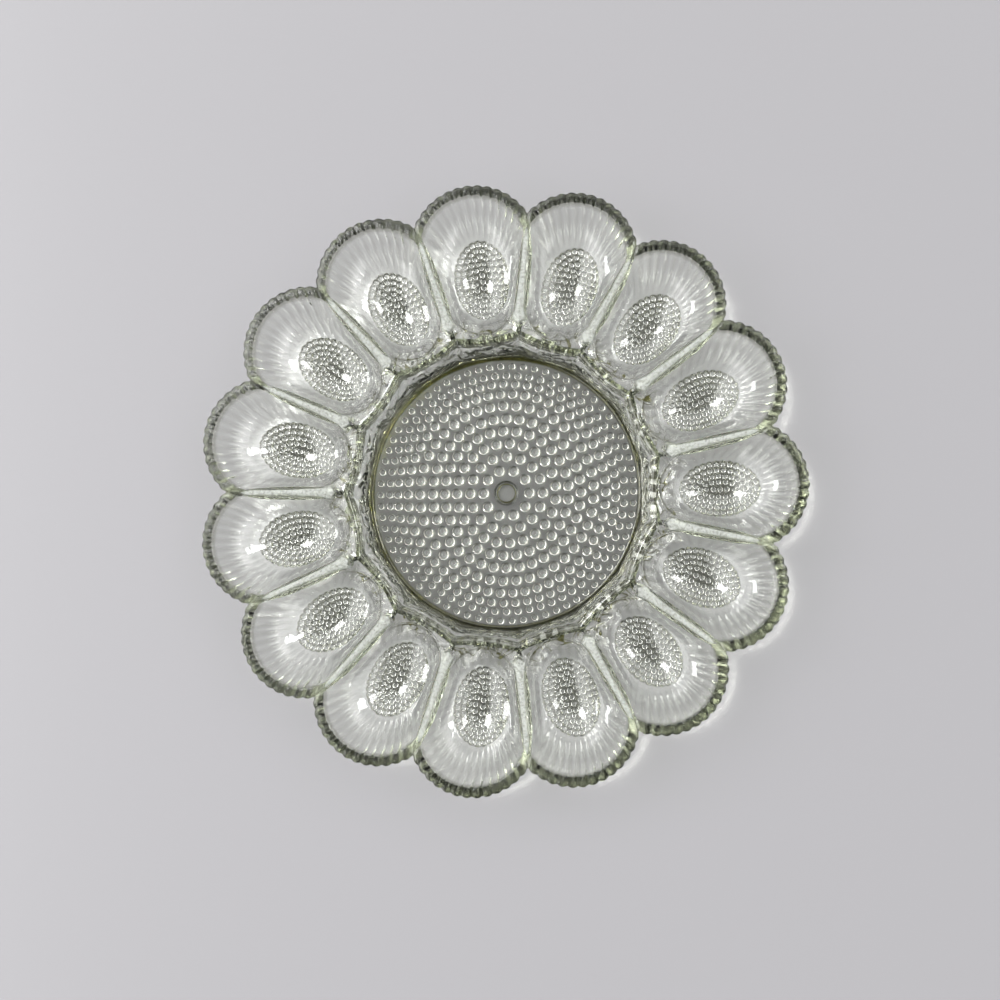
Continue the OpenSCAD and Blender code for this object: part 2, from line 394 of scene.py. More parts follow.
@dataclass
class WellPlan:
    """The outline of one egg well's share of the tray, and the curves inside it. Sizes in millimetres.

    All have the same steps, along the stretches of the outline. A share tells where a step lies: from -1 to 1 on
    the scallop and back on the ridge, and from 0 at a web's outer end to 1 at its inner end.
    """

    ridge: Ridge = Ridge()
    tip_r: float = round(FAR_CORNER[0] / MM - INSIDE, 2)
    notch_r: float = 127.0
    rim_w: float = 5.5
    flutes: int = 13
    side_flutes: int = 8
    flute_depth: float = 0.85
    arc_steps: int = 6
    side_steps: int = 3
    web_in_w: float = 5.0
    web_out_w: float = 3.0
    corner_cut: float = 0.05
    corner_end: float = 0.1
    join_angle: float = 138.0
    floor_mid_r: float = 98.75
    oval_out_angle: float = 62.0
    oval_in_angle: float = 140.0

    def __post_init__(self) -> None:
        """Works out the steps and the circles that the curves lie on."""
        arc, side = self.flutes * self.arc_steps, self.side_flutes * self.side_steps
        ridge = self.ridge.flutes * self.ridge.steps
        self.stretch = np.repeat([s.value for s in Stretch], [arc, side, ridge, side])
        self.share = np.concatenate(
            [
                2 * np.arange(arc) / arc - 1,
                np.arange(side) / side,
                1 - 2 * np.arange(ridge) / ridge,
                1 - np.arange(side) / side,
            ]
        )
        phase = self.by_stretch(
            (self.share + 1) / 2 * self.flutes, self.share * self.side_flutes, (1 - self.share) / 2 * self.ridge.flutes
        )
        self.groove = 1 - np.abs(np.sin(math.pi * phase))
        self.wave = np.cos(math.pi * phase) ** 2
        self.half = self.ridge.half
        c, s = math.cos(self.half), math.sin(self.half)
        tip, notch = self.tip_r, self.notch_r
        self.mid_r = (tip**2 - notch**2) / (2 * (tip - notch * c))
        self.scallop_r = tip - self.mid_r
        self.notch_a = math.atan2(notch * s, notch * c - self.mid_r)
        self.mouth_r = self.scallop_r - self.rim_w
        gap = self.mid_r * s - self.web_out_w / 2
        self.mouth_a = math.pi / 2 + self.half - math.acos(gap / self.mouth_r)
        self.end_r = (self.ridge.outer_r - self.web_in_w / 2) / (1 - s)
        self.end_curve_r = self.end_r - self.ridge.outer_r

    def on(self, stretch: Stretch) -> np.ndarray:
        """True at the steps of one stretch."""
        return self.stretch == stretch.value

    def by_stretch(self, scallop: Number, side: Number, ridge: Number) -> np.ndarray:
        """Joins the values of the stretches, the far side being the side's.

        Args:
            scallop: one value, or as many values or plan points as there are steps.
            side: the same along the webs.
            ridge: the same along the ridge.

        Returns:
            A value or a plan point at each step.
        """
        masks = [self.on(Stretch.SCALLOP), self.on(Stretch.RIDGE)]
        if np.ndim(side) == 2:
            masks = [m[:, None] for m in masks]
        return np.select(masks, [scallop, ridge], side)

    def mirrored(self, plan: np.ndarray) -> np.ndarray:
        """Plan points with those of the far side flipped over the well's own axis."""
        return np.where(self.on(Stretch.FAR_SIDE)[:, None], plan * [1, -1], plan)

    def outline(self, inset: float = 0.0) -> np.ndarray:
        """The outline: the fluted scallop arc, the straight lines between two wells, and the ridge's line.

        Args:
            inset: how far the points move towards the mouth.

        Returns:
            A plan point at each step.
        """
        s = self.share
        arc = polar(self.scallop_r - self.flute_depth * self.groove, s * self.notch_a, self.mid_r)
        side = polar(mix(self.notch_r - self.flute_depth * (1 - s), self.ridge.line(1.0), s), self.half)
        plan = self.by_stretch(arc, self.mirrored(side), polar(self.ridge.line(s), s * self.half))
        plan[0] = polar(self.notch_r - self.flute_depth, -self.half)
        return toward(plan, self.mouth(), inset) if inset else plan

    def mouth(self, outset: float = 0.0) -> np.ndarray:
        """The edge of the well's mouth: an arc along the scallop, a rounded corner (a quadratic curve), a
        straight side along each web and a round inner end.

        Args:
            outset: how far the points move towards the outline.

        Returns:
            A plan point at each step.
        """
        s, cut, end = self.share, self.corner_cut, self.corner_end
        arc = polar(self.mouth_r, s * (self.mouth_a - cut), self.mid_r)
        start = polar(self.mouth_r, self.mouth_a - cut, self.mid_r)
        corner = polar(self.mouth_r, self.mouth_a, self.mid_r)
        bend_a, join_a = math.pi / 2 + self.half, math.radians(self.join_angle)
        bend = polar(self.end_curve_r, bend_a, self.end_r)
        way = (bend - corner) / np.linalg.norm(bend - corner)
        side_start = corner + way * self.mouth_r * cut
        t = np.clip(s / end, 0, 1)[:, None]
        rounded = start * (1 - t) ** 2 + corner * 2 * t * (1 - t) + side_start * t**2
        straight_len = np.linalg.norm(bend - side_start)
        run = np.clip((s - end) / (1 - end), 0, 1) * (straight_len + self.end_curve_r * (join_a - bend_a))
        round_a = bend_a + np.clip(run - straight_len, 0, None) / self.end_curve_r
        bent = polar(self.end_curve_r, round_a, self.end_r)
        side = np.where((run <= straight_len)[:, None], side_start + way * run[:, None], bent)
        side = np.where(s[:, None] < end, rounded, side)
        inner = polar(self.end_curve_r, math.pi - s * (math.pi - join_a), self.end_r)
        plan = self.by_stretch(arc, self.mirrored(side), inner)
        return toward(plan, self.outline(), outset) if outset else plan

    def oval(self, length: float, width: float) -> np.ndarray:
        """An oval round the well's floor: half length times cosine, half width times sine.

        Args:
            length: its length, along the well's own axis.
            width: its width.

        Returns:
            A plan point at each step.
        """
        s, out_a, in_a = self.share, math.radians(self.oval_out_angle), math.radians(self.oval_in_angle)
        side_a = mix(out_a, in_a, s)
        side_a = np.where(self.on(Stretch.FAR_SIDE), -side_a, side_a)
        a = self.by_stretch(s * out_a, side_a, math.pi - s * (math.pi - in_a))
        return np.column_stack([length / 2 * np.cos(a), width / 2 * np.sin(a)]) + [self.floor_mid_r, 0]


@dataclass
class Well:
    """One egg well: a rounded edge, a smooth bowl, a fluted outside and a hobnailed floor.

    Sizes are in millimetres. A span says between which two shares of a web something changes.
    """

    plan: WellPlan = field(default_factory=WellPlan)
    edge: Edge = Edge()

    # Heights along the scallop, the webs and the ridge.
    rim_h: float = round(FAR_CORNER[2] / MM, 2)
    rim_face_h: float = 2.5
    web_out_h: float = 24.0
    web_t: float = 9.0
    step_span: Span = (0.03, 0.12)
    round_end: float = 0.07
    soft_span: Span = (0.1, 0.2)
    ridge_span: Span = (0.8, 1.0)
    thick_end: float = 0.3
    thin_span: Span = (0.6, 1.0)

    # The floor, and the studded oval under it.
    floor_len: float = 40.5
    floor_w: float = 25.3
    floor_h: float = 9.0
    floor_t: float = 4.5
    floor_long_dip: float = 5.0
    floor_wide_dip: float = 4.0
    floor_shift: float = 2.0
    studded_len: float = 38.5
    studded_w: float = 27.5

    # The walls: how much of their fall is even, and the shares of the way, or of the floor's oval, with a loop.
    rim_plane: float = 0.32
    ridge_plane: float = 0.92
    under_plane: float = 0.3
    under_ridge_curve: float = 0.65
    wall_shares: tuple[float, ...] = (0.0, 0.08, 0.2, 0.36, 0.54, 0.72, 0.88, 1.0)
    floor_shares: tuple[float, ...] = (0.9, 0.55)
    under_shares: tuple[float, ...] = (0.08, 0.2, 0.34, 0.5, 0.68, 0.86, 1.0)

    # The flutes: their depth on the wall as a share of that on the outline, and at the ridge as a share of that.
    flute_share: float = 0.6
    ridge_flute_share: float = 0.5
    flute_start: float = 0.3
    flute_fade: float = 0.3

    # The studs: rings on ovals, and some on the middle line.
    stud_rings: int = 4
    line_studs: int = 5
    stud_pitch: float = 3.15
    stud_apart: float = 2.8
    stud_inset: float = 1.65
    stud_r: float = 1.52
    stud_h: float = 1.1
    stud_sides: int = 8
    stud_profile: tuple[Span, ...] = ((0.84, 0.52), (0.48, 0.93))
    path_points: int = 721

    # The skin: grain, and painted shade that darkens the glass's colour on the rim, in a line at the mouth by the
    # ridge, along the flute grooves, under the ridge and round the studs' feet; the flanks darken the light that
    # reaches the table, a painted shadow.
    rim_grain: float = 0.3
    grain_span: Span = (0.1, 0.15)
    grain_end: float = 0.93
    rim_painted_shade: float = 0.6
    rim_painted_shade_span: Span = (0.0, 0.15)
    line_painted_shade: float = 0.8
    flute_painted_shade: float = 0.36
    ridge_painted_shade: float = 0.32
    stud_foot_painted_shade: float = 0.72
    stud_foot_flank: float = 0.5
    mouth_swirl: float = 0.38
    mouth_swirl_fade: float = 1.6
    under_swirl_start: float = 0.3
    swirl_flank: float = 0.5

    def __post_init__(self) -> None:
        """Works out what the loops share: the crest's height, where it is soft, and its grain and painted shade."""
        plan, share = self.plan, self.plan.share
        end = self.step_span[1]
        web = mix(self.web_out_h, plan.ridge.height, np.clip((share - end) / (1 - end), 0, 1))
        web = mix(self.rim_h, web, smoothstep(share, *self.step_span))
        self.crest = plan.by_stretch(self.rim_h, web, plan.ridge.height)
        self.soft = plan.by_stretch(0.0, smoothstep(share, *self.soft_span), 1.0)
        self.at_ridge = plan.by_stretch(0.0, smoothstep(share, *self.ridge_span), 1.0)
        grain = mix(self.rim_grain, 1.0, smoothstep(share, *self.grain_span))
        self.grain = plan.by_stretch(self.rim_grain, np.where(share > self.grain_end, 0.0, grain), 0.0)
        self.tone = plan.by_stretch(self.rim_painted_shade, self.rim_painted_shade * (1 - smoothstep(share, *self.rim_painted_shade_span)), 0.0)

    def bottom(self, at: np.ndarray) -> np.ndarray:
        """Height of the floor: from its lowest point it rises with the square of the distance, measured in half
        lengths and half widths of the oval.

        Args:
            at: plan points.

        Returns:
            A height at each point.
        """
        x = (at[:, 0] - self.plan.floor_mid_r + self.floor_shift) / (self.floor_len / 2)
        y = at[:, 1] / (self.floor_w / 2)
        return self.floor_h + self.floor_long_dip * x**2 + self.floor_wide_dip * y**2

    def bottom_under(self, at: np.ndarray) -> np.ndarray:
        """Height of the floor's underside at plan points."""
        return self.bottom(at) - self.floor_t

    def edge_loops(self) -> list[Loop]:
        """Loops from the outline over the rounded edge, whose rounding ends just past each notch.

        Returns:
            Loops with a point at each step.
        """
        rounded = self.plan.by_stretch(1.0, np.clip(1 - self.plan.share / self.round_end, 0, 1), 0.0)
        heights = [self.edge.height(self.crest, self.soft, rounded * r, fall) for _, r, fall in self.edge.outer]
        outlines = [self.plan.outline(inset) for inset, _, _ in self.edge.outer]
        return [Loop(outline, height, self.grain, self.tone) for outline, height in zip(outlines, heights)]

    def bowl_loops(self) -> list[Loop]:
        """Loops from the mouth's edge down the smooth wall and over the floor. On its way u from 0 to 1 the wall
        falls by a share of (1 - u), and by (1 - u)^2 for the rest.

        Returns:
            Loops with a point at every other step.
        """
        half = slice(None, None, 2)
        loops = []
        for outset, rounding, fall, dull in self.edge.inner:
            height = self.edge.height(self.crest, self.soft, rounding, fall)
            loops.append(Loop(self.plan.mouth(outset)[half], height[half], dull * self.grain[half], self.tone[half]))
        mouth, oval = self.plan.mouth(), self.plan.oval(self.floor_len, self.floor_w)
        lip, low = self.edge.height(self.crest, self.soft, *self.edge.lip), self.bottom(oval)
        plane = mix(self.rim_plane, self.ridge_plane, self.at_ridge)
        no_tone = np.zeros(len(self.crest))
        # Painted shade: the rim's on the mouth's edge, and a dark line by the ridge on the next loop.
        painted_shades = [self.tone, self.line_painted_shade * self.at_ridge] + [no_tone] * (len(self.wall_shares) - 2)
        for u, tone in zip(self.wall_shares, painted_shades):
            fall = plane * (1 - u) + (1 - plane) * (1 - u) ** 2
            swirl = self.mouth_swirl * max(0.0, 1 - self.mouth_swirl_fade * u) * self.at_ridge
            loops.append(Loop(mix(mouth, oval, u)[half], mix(low, lip, fall)[half], 0.0, tone[half], swirl[half]))
        for u in self.floor_shares:
            inner = self.plan.oval(u * self.floor_len, u * self.floor_w)[half]
            loops.append(Loop(inner, self.bottom(inner)))
        return loops

    def under_loops(self) -> list[Loop]:
        """Loops from the outline's lower edge down the fluted outside to the studded oval. On its way u from 0 to
        1 the wall falls by a mix of (1 - u) and (1 - u)^3, and at the ridge by 1 - 3u^2 + 2u^3. The flutes deepen
        as a sine and fade as a power of (1 - u).

        Returns:
            Loops with a point at each step.
        """
        plan, ridge, at_ridge = self.plan, self.plan.ridge, self.at_ridge
        web = mix(self.web_t, ridge.thickness, smoothstep(plan.share, *self.thin_span))
        thick = mix(self.rim_face_h, web, np.clip(plan.share / self.thick_end, 0, 1))
        thick = plan.by_stretch(self.rim_face_h, thick, ridge.thickness)
        outline, oval = plan.outline(), plan.oval(self.studded_len, self.studded_w)
        high, low = self.crest - thick - ridge.wave_h * plan.wave * at_ridge, self.bottom_under(oval)
        flutes = mix(1.0, self.ridge_flute_share, at_ridge) * (plan.groove + plan.wave) / 2
        flutes = flutes * self.flute_share * plan.flute_depth
        loops = [Loop(outline, high)]
        for u in self.under_shares:
            fall = self.under_plane * (1 - u) + (1 - self.under_plane) * (1 - u) ** 3
            fall = mix(fall, 1 - u * u * (3 - 2 * u), self.under_ridge_curve * at_ridge)
            carve = flutes * (1 - u) ** self.flute_fade * math.sin(math.pi * min(1.0, u / self.flute_start) / 2)
            points = mix(outline, oval, u) + toward(outline, oval, carve[:, None]) - outline
            # Painted shade along the flute grooves and under the ridge, strongest halfway down the wall.
            tone = self.flute_painted_shade * plan.wave + self.ridge_painted_shade * at_ridge * (1 - u)
            tone *= math.sin(math.pi * u) ** 0.5
            swirl = at_ridge * math.sin(math.pi * min(1.0, u + self.under_swirl_start))
            loops.append(Loop(points, mix(low, high, fall), 0.0, tone, swirl, self.swirl_flank * swirl))
        return loops

    def add(self, shell: Shell, turn: float) -> np.ndarray:
        """Adds the well's edge, bowl and outside.

        Args:
            shell: the surface that gets them.
            turn: the well's angle round the tray, in radians.

        Returns:
            The point numbers of its studded oval.
        """
        edge = [shell.add(loop, turn) for loop in self.edge_loops()]
        bowl = [shell.add(loop, turn) for loop in self.bowl_loops()]
        middle = AXIS + [self.plan.floor_mid_r, 0]
        shell.bands(edge)
        shell.taper(edge[-1], bowl[0])
        shell.bands(bowl)
        shell.fan(bowl[-1], shell.add(Loop(middle, self.bottom(middle)), turn))
        under = [shell.add(loop, turn) for loop in self.under_loops()]
        arc = np.nonzero(self.plan.on(Stretch.SCALLOP))[0]
        after = arc + 1
        shell.quads.append(np.column_stack([edge[0][arc], under[0][arc], under[0][after], edge[0][after]]))
        shell.bands(under)
        return under[-1]

    def add_studs(self, shell: Shell, ovals: np.ndarray, turns: list[float]) -> None:
        """Adds the hobnailed undersides of all wells, with the studs spread evenly along each oval.

        Args:
            shell: the surface that gets them.
            ovals: point numbers of the studded ovals, by well.
            turns: the wells' angles round the tray, in radians.
        """
        a, b = self.studded_len / 2, self.studded_w / 2
        angle = np.linspace(0, 2 * math.pi, self.path_points)
        centres: list[np.ndarray] = []
        for ring in range(self.stud_rings):
            inset = self.stud_inset + ring * self.stud_apart
            path = np.column_stack([(a - inset) * np.cos(angle), (b - inset) * np.sin(angle)])
            run = np.concatenate([[0], np.cumsum(np.linalg.norm(np.diff(path, axis=0), axis=1))])
            count = round(run[-1] / self.stud_pitch)
            at = (np.arange(count) + 0.5 * (ring % 2)) * run[-1] / count
            centres.append(np.column_stack([np.interp(at, run, path[:, i]) for i in (0, 1)]))
        line = np.linspace(-1, 1, self.line_studs) * (a - self.stud_inset - self.stud_rings * self.stud_apart)
        centres.append(np.column_stack([line, np.zeros(self.line_studs)]))
        places = np.concatenate(centres) + [self.plan.floor_mid_r, 0]
        studs = Hobnails(
            places, np.full(len(places), self.stud_r), self.stud_h, self.stud_sides, self.stud_profile,
            self.bottom_under, tone=0.0, foot_painted_shade=self.stud_foot_painted_shade, foot_flank=self.stud_foot_flank,
        )
        studs.add(shell, [self.plan.oval(self.studded_len, self.studded_w)], [ovals], turns)
        log.info("hobnails in each well: %d", len(places))


@dataclass
class Dish:
    """The centre dish, the foot ring under its wall, and the hobnailed recess with its boss.

    Sizes are in millimetres.
    """

    ridge: Ridge = Ridge()
    edge: Edge = Edge()

    # The dish: share of the way down its wall and the painted shade there, then inset, drop and painted shade on its
    # floor; the shade paints a dark line where the wall meets the floor.
    floor_r: float = 63.5
    floor_t: float = 4.5
    wall_inset: float = 1.3
    wall_plane: float = 0.55
    wall_power: float = 2.5
    wall_swirl: float = 0.4
    wall: tuple[Span, ...] = ((0.0, 0.0), (0.15, 0.0), (0.35, 0.0), (0.6, 0.0), (0.82, 0.85), (1.0, 1.0))
    floor: tuple[Triple, ...] = ((2.2, 0.25, 1.0), (2.9, 0.3, 0.0), (33.5, 0.3, 0.0))

    # The wavy wall under the ridge, with the shares of the way that have a loop, and the foot ring.
    under_shares: tuple[float, ...] = (0.2, 0.45, 0.75, 1.0)
    under_power: float = 1.35
    under_wave: float = 0.5
    # Painted shade on the wavy wall; the flanks below darken the light that reaches the table, a painted shadow.
    under_painted_shade: float = 0.2
    under_swirl: Span = (0.4, 0.9)
    under_flank: float = 0.5
    foot_r: float = 66.5
    foot_w: float = 3.0
    foot_h: float = 2.0
    foot_top: float = 0.6
    foot_flank: float = 0.8

    # The recess and its studs: radius of each ring of studs, their number and their radius.
    recess_inset: float = 1.6
    # Painted shade on the recess's ground and the studs' tips, and a painted shadow on the table under the recess and
    # its brink.
    recess_painted_shade: float = 0.3
    recess_flank: float = 0.4
    brink_flank: float = 0.35
    stud_h: float = 1.6
    stud_sides: int = 12
    stud_profile: tuple[Span, ...] = ((0.91, 0.42), (0.76, 0.68), (0.48, 0.92))
    stud_rows: tuple[tuple[float, int, float], ...] = (
        (10.65, 10, 2.6), (16.9, 16, 2.6), (23.0, 23, 2.6), (28.8, 29, 2.6), (34.5, 36, 2.6),
        (40.5, 41, 2.55), (46.0, 50, 2.35), (50.7, 57, 2.05), (54.6, 64, 1.8), (58.9, 70, 1.6),
    )

    # The boss: inset from its edge, share of its height and painted shade, which draws its dark rings.
    boss_r: float = 5.75
    boss_h: float = 1.8
    boss_hub: float = 0.75
    boss_every: int = 5
    boss_profile: tuple[Triple, ...] = (
        (0.2, 0.35, 1.0), (0.55, 0.7, 1.0), (0.95, 0.9, 0.0), (1.1, 0.95, 0.0),
        (1.15, 0.85, 1.0), (1.85, 0.72, 1.0), (1.95, 0.72, 0.3),
    )

    def __post_init__(self) -> None:
        """Works out the steps round the dish and the ridge's line."""
        count = self.ridge.flutes * self.ridge.steps
        step = np.arange(self.ridge.spans * count)
        self.angle = (step / (count / 2) - 1) * self.ridge.half
        self.share = step % count / (count / 2) - 1
        self.line = self.ridge.line(self.share)
        self.floor_h = self.foot_h + self.floor_t
        self.foot_in = self.foot_r - self.foot_w

    def ring(self, radius: Number, height: Number, **skin: Number) -> Loop:
        """A loop with a point at each step."""
        return Loop(polar(radius, self.angle), height, **skin)

    def recess(self, at: np.ndarray) -> np.ndarray:
        """Height of the level recess at plan points."""
        return np.full(len(at), self.foot_h)

    def top_loops(self) -> list[Loop]:
        """Loops from the ridge's line over its edge, down the wall and over the floor. On its way u from 0 to 1
        the wall falls by a mix of (1 - u) and a power of it.

        Returns:
            Loops with a point at each step.
        """
        crest, edge, wall_r = self.ridge.height, self.line - self.ridge.width / 2, self.floor_r - self.wall_inset
        loops = [self.ring(self.line, crest)]
        for outset, rounding, fall, _ in self.edge.inner:
            loops.append(self.ring(edge + outset, self.edge.height(crest, 1.0, rounding, fall)))
        lip = self.edge.height(crest, 1.0, *self.edge.lip)
        for u, tone in self.wall:
            fall = self.wall_plane * (1 - u) + (1 - self.wall_plane) * (1 - u) ** self.wall_power
            swirl = self.wall_swirl * (1 - u**3)
            loops.append(self.ring(mix(edge, wall_r, u), mix(self.floor_h, lip, fall), tone=tone, swirl=swirl))
        for inset, drop, tone in self.floor:
            loops.append(self.ring(self.floor_r - inset, self.floor_h - drop, tone=tone))
        return loops

    def foot_loops(self) -> list[Loop]:
        """Loops from the ridge's line down the wavy wall under it, which falls by a power of its way u, then
        round the foot and into the recess.

        Returns:
            Loops with a point at each step.
        """
        wave = np.cos(math.pi * (1 - self.share) / 2 * self.ridge.flutes) ** 2
        low = self.ridge.height - self.ridge.thickness - self.ridge.wave_h * wave
        loops = [self.ring(self.line, low)]
        for u in self.under_shares:
            radius = mix(self.line, self.foot_r, u) - self.under_wave * wave * math.sin(math.pi * u)
            height = mix(self.foot_top, low, 1 - u**self.under_power)
            swirl = mix(*self.under_swirl, 1 - u)
            loops.append(self.ring(radius, height, tone=self.under_painted_shade * u, swirl=swirl, flank=self.under_flank))
        outer, inner, top = self.foot_r, self.foot_in, self.foot_h
        # Round the foot ring, with painted shade that draws a dark line at the dish's edge, and a painted shadow under
        # it.
        for radius, height, tone in (
            (outer - 0.2, 0.15, 0.6),
            (outer - 0.6, 0.0, 0.75),
            (inner + 0.3, 0.0, 0.8),
            (inner, 0.3, 0.8),
            (inner - 0.2, top - 0.25, 0.9),
            (inner - 0.5, top, 0.9),
            (inner - 1.0, top, 0.6),
        ):
            loops.append(self.ring(radius, height, tone=tone, flank=self.foot_flank))
        loops.append(self.ring(inner - self.recess_inset, top, tone=self.recess_painted_shade, flank=self.brink_flank))
        return loops

    def boss_loops(self) -> list[Loop]:
        """Loops from the boss's edge to its face.

        Returns:
            Loops with a point at some of the steps.
        """
        angle = self.angle[:: self.boss_every]
        loops = [Loop(polar(self.boss_r, angle), self.foot_h, tone=self.recess_painted_shade, flank=self.brink_flank)]
        for inset, share, tone in self.boss_profile:
            # Where the painted shade is full, the flank is full too, and a steep face gets the near-black painted dark
            # finish.
            height, flank = self.foot_h - self.boss_h * share, max(self.recess_painted_shade, tone)
            loops.append(Loop(polar(self.boss_r - inset, angle), height, tone=tone, flank=flank))
        return loops

    def add(self, shell: Shell) -> None:
        """Adds the whole middle of the tray.

        Args:
            shell: the surface that gets it.
        """
        top = [shell.add(loop) for loop in self.top_loops()]
        shell.bands(top)
        shell.fan(top[-1], shell.add(Loop(AXIS, self.floor_h - self.floor[-1][1])))
        foot_loops, boss_loops = self.foot_loops(), self.boss_loops()
        foot = [shell.add(loop) for loop in foot_loops]
        shell.bands(foot)
        boss = [shell.add(loop) for loop in boss_loops]
        shell.bands(boss)
        hub = Loop(AXIS, self.foot_h - self.boss_hub * self.boss_h, tone=self.recess_painted_shade, flank=self.recess_flank)
        shell.fan(boss[-1], shell.add(hub))
        studs = self.studs()
        edges = [foot_loops[-1].plan, boss_loops[0].plan]
        studs.add(shell, edges, [foot[-1][None], boss[0][None]], [0.0])
        log.info("hobnails under the dish: %d", len(studs.centres))

    def studs(self) -> Hobnails:
        """Places the studs under the dish in rings, those of every ring with an odd number turned by half a step.

        Returns:
            The studs.
        """
        centres = [
            polar(row_r, (np.arange(count) + 0.5 * (count % 2)) * 2 * math.pi / count)
            for row_r, count, _ in self.stud_rows
        ]
        radii = [np.full(count, stud_r) for _, count, stud_r in self.stud_rows]
        return Hobnails(
            np.concatenate(centres), np.concatenate(radii), self.stud_h, self.stud_sides, self.stud_profile,
            self.recess, tone=self.recess_painted_shade, foot_painted_shade=self.recess_painted_shade, foot_flank=self.recess_flank,
        )


@dataclass
class Wiring:
    """Adds nodes to one node tree and joins them."""

    tree: bpy.types.NodeTree

    def node(self, kind: str, inputs: dict[str | int, Feed], **settings: str | bpy.types.NodeTree) -> bpy.types.Node:
        """Adds a node.

        Args:
            kind: its type, after the word ShaderNode.
            inputs: what goes into its sockets, by name or number: a value, or the socket that feeds it.
            settings: its own properties, such as a Math node's operation.

        Returns:
            The new node.
        """
        node = self.tree.nodes.new("ShaderNode" + kind)
        for name, value in settings.items():
            setattr(node, name, value)
        for key, value in inputs.items():
            if isinstance(value, bpy.types.NodeSocket):
                self.tree.links.new(value, node.inputs[key])
            else:
                node.inputs[key].default_value = value
        return node

    def math(self, operation: str, a: Feed, b: Feed = 0.0) -> bpy.types.NodeSocket:
        """The result of one sum, product or other operation."""
        return self.node("Math", {0: a, 1: b}, operation=operation).outputs["Value"]

    def spread(self, value: Feed, low: float, high: float, at_low: Feed, at_high: Feed) -> bpy.types.NodeSocket:
        """A value moved from the range low to high into the range at_low to at_high, and kept inside it."""
        inputs = {"Value": value, "From Min": low, "From Max": high, "To Min": at_low, "To Max": at_high}
        return self.node("MapRange", inputs).outputs["Result"]

    def noise(self, scale: float, detail: float, distortion: float = 0.0) -> bpy.types.NodeSocket:
        """Noise from 0 to 1 that is fixed to the object."""
        inputs = {"Vector": self.node("TexCoord", {}).outputs["Object"], "Scale": scale, "Detail": detail}
        return self.node("TexNoise", inputs | {"Distortion": distortion}).outputs["Fac"]

    def bump(self, height: Feed, strength: float, distance: float, **under: Feed) -> bpy.types.NodeSocket:
        """A normal that follows a height, on top of the normal under it, if there is one."""
        inputs = {"Height": height, "Strength": strength, "Distance": distance, **under}
        return self.node("Bump", inputs).outputs["Normal"]

    def blend(self, share: Feed, none: Triple, full: Triple) -> bpy.types.NodeSocket:
        """A colour between two others, by a share."""
        return self.node("Mix", {0: share, 6: (*none, 1), 7: (*full, 1)}, data_type="RGBA").outputs[2]

    def skin(self) -> list[bpy.types.NodeSocket]:
        """The shares of grain, flank and painted shade that the mesh carries."""
        stored = self.node("Attribute", {}, attribute_name="skin").outputs["Vector"]
        return list(self.node("SeparateXYZ", {"Vector": stored}).outputs)


@dataclass(frozen=True)
class Relief:
    """Noise that raises the skin: its scale, detail and distortion, and the strength and metres of its bump."""

    noise: Triple
    bump: Span


@dataclass(frozen=True)
class PressedSkin:
    """The skin of pressed glass: ripples, smudges, flow marks with painted dark squiggles that stand in for shade, and
    a matt, dirty grain.
    """

    name: str = "pressed_skin"
    ripple: Relief = Relief((180.0, 3.0, 0.0), (0.25, 0.0004))
    melt: Relief = Relief((110.0, 1.0, 1.0), (1.0, 0.0024))
    pits: Relief = Relief((900.0, 2.0, 0.0), (0.9, 0.0008))
    smudge_noise: Span = (30.0, 4.0)
    smudge_span: Span = (0.5, 0.8)
    smudge_roughness: float = 0.06
    matt_roughness: float = 0.5
    painted_squiggle_span: Span = (0.006, 0.022)
    dirt_span: Span = (0.45, 0.65)
    dirt: float = 0.4

    def group(self) -> bpy.types.NodeTree:
        """Makes the node group that the glass materials share.

        Returns:
            The group. It takes the roughness of clean glass, and gives a mask of dirt and painted shade, a roughness
            and a normal.
        """
        tree = bpy.data.node_groups.new(self.name, "ShaderNodeTree")
        tree.interface.new_socket("Clean Roughness", in_out="INPUT", socket_type="NodeSocketFloat")
        for title, kind in (("Dirt and Painted Shade", "Float"), ("Roughness", "Float"), ("Normal", "Vector")):
            tree.interface.new_socket(title, in_out="OUTPUT", socket_type="NodeSocket" + kind)
        entry, result = tree.nodes.new("NodeGroupInput"), tree.nodes.new("NodeGroupOutput")
        w = Wiring(tree)
        grain, _, tone = w.skin()
        swirl = w.node("Attribute", {}, attribute_name="swirl").outputs["Fac"]
        ripple, melt, pits = (w.noise(*relief.noise) for relief in (self.ripple, self.melt, self.pits))

        smudges = w.spread(w.noise(*self.smudge_noise), *self.smudge_span, 0.0, self.smudge_roughness)
        matt = w.spread(grain, 0.0, 1.0, entry.outputs["Clean Roughness"], self.matt_roughness)
        rippled = w.bump(ripple, *self.ripple.bump)
        waved = w.bump(w.math("MULTIPLY", melt, swirl), *self.melt.bump, Normal=rippled)
        normal = w.bump(w.math("MULTIPLY", pits, grain), *self.pits.bump, Normal=waved)
        dirt = w.math("MULTIPLY", w.spread(pits, *self.dirt_span, 0.0, self.dirt), grain)
        # Painted dark squiggles along the flow marks stand in for shade.
        off_middle = w.math("ABSOLUTE", w.math("SUBTRACT", melt, 0.5))
        painted_squiggles = w.math("MULTIPLY", w.spread(off_middle, *self.painted_squiggle_span, 1.0, 0.0), swirl)
        # Dirt, and painted shade from the squiggles and from the skin.
        dirt_and_shade = w.math("ADD", painted_squiggles, w.math("ADD", dirt, tone))
        for title, value in (("Dirt and Painted Shade", dirt_and_shade), ("Roughness", w.math("ADD", smudges, matt)), ("Normal", normal)):
            tree.links.new(value, result.inputs[title])
        return tree


